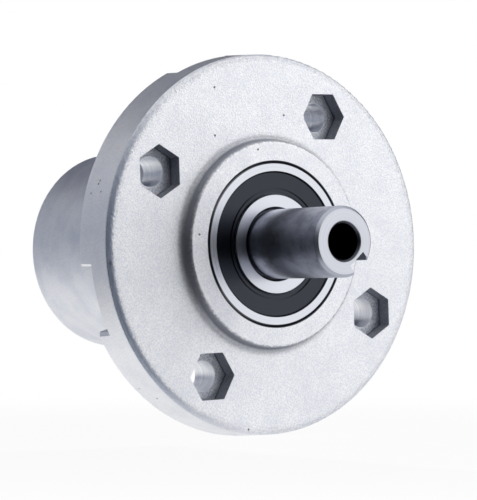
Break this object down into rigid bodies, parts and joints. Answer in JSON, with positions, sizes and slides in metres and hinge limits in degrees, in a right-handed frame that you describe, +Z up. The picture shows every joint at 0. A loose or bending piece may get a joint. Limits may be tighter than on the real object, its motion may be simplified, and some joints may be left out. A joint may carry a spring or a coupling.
{
  "type": "mower blade spindle",
  "caption": "Flanged bearing housing for a mower deck: a keyed blade shaft turns in sealed ball bearings, hexagon bolt pockets, plain round neck.",
  "frame": {"origin": "on the spindle axis in the plane of the flange's seat face, which lies against the underside of the deck", "axes": "Y is the spindle axis, -Y to the blade end and +Y to the pulley end, +X to the right as seen from the blade end, +Z up"},
  "size_m": [0.1098, 0.142, 0.1098],
  "materials": {
    "cast_aluminium": "as cast and shot blasted",
    "shaft_steel": "turned and ground",
    "sleeve_steel": "turned",
    "spring_steel": "phosphated",
    "bearing_steel": "ground",
    "ball_steel": "polished",
    "cage_polymer": "moulded",
    "seal_rubber": "moulded",
    "insert_steel": "stamped"
  },
  "bodies": {
    "bearing_housing": {"housing": "cast_aluminium", "rear_retaining_ring": "spring_steel", "front_outer_ring": "bearing_steel", "front_outer_seal": "seal_rubber", "front_outer_seal_insert": "insert_steel", "front_inner_seal": "seal_rubber", "front_inner_seal_insert": "insert_steel", "rear_outer_ring": "bearing_steel", "rear_outer_seal": "seal_rubber", "rear_outer_seal_insert": "insert_steel", "rear_inner_seal": "seal_rubber", "rear_inner_seal_insert": "insert_steel"},
    "spindle": {"spindle_shaft": "shaft_steel", "spacer_sleeve": "sleeve_steel", "front_inner_ring": "bearing_steel", "rear_inner_ring": "bearing_steel"},
    "front_ball_set": {"front_cage": "cage_polymer", "front_ball_1": "ball_steel", "front_ball_2": "ball_steel", "front_ball_3": "ball_steel", "front_ball_4": "ball_steel", "front_ball_5": "ball_steel", "front_ball_6": "ball_steel", "front_ball_7": "ball_steel", "front_ball_8": "ball_steel"},
    "rear_ball_set": {"rear_cage": "cage_polymer", "rear_ball_1": "ball_steel", "rear_ball_2": "ball_steel", "rear_ball_3": "ball_steel", "rear_ball_4": "ball_steel", "rear_ball_5": "ball_steel", "rear_ball_6": "ball_steel", "rear_ball_7": "ball_steel", "rear_ball_8": "ball_steel"}
  },
  "joints": [
    {"name": "spindle_spin", "type": "hinge", "parent": "bearing_housing", "child": "spindle", "pos_m": [0, 0, 0], "axis": [0, 1, 0], "continuous": true},
    {"name": "front_ball_set_orbit", "type": "hinge", "parent": "bearing_housing", "child": "front_ball_set", "pos_m": [0, -0.0114, 0], "axis": [0, 1, 0], "continuous": true},
    {"name": "rear_ball_set_orbit", "type": "hinge", "parent": "bearing_housing", "child": "rear_ball_set", "pos_m": [0, 0.05615, 0], "axis": [0, 1, 0], "continuous": true}
  ],
  "couplings": [
    {"joint": "front_ball_set_orbit", "follows": "spindle_spin", "ratio": 0.38152},
    {"joint": "rear_ball_set_orbit", "follows": "spindle_spin", "ratio": 0.38152}
  ]
}
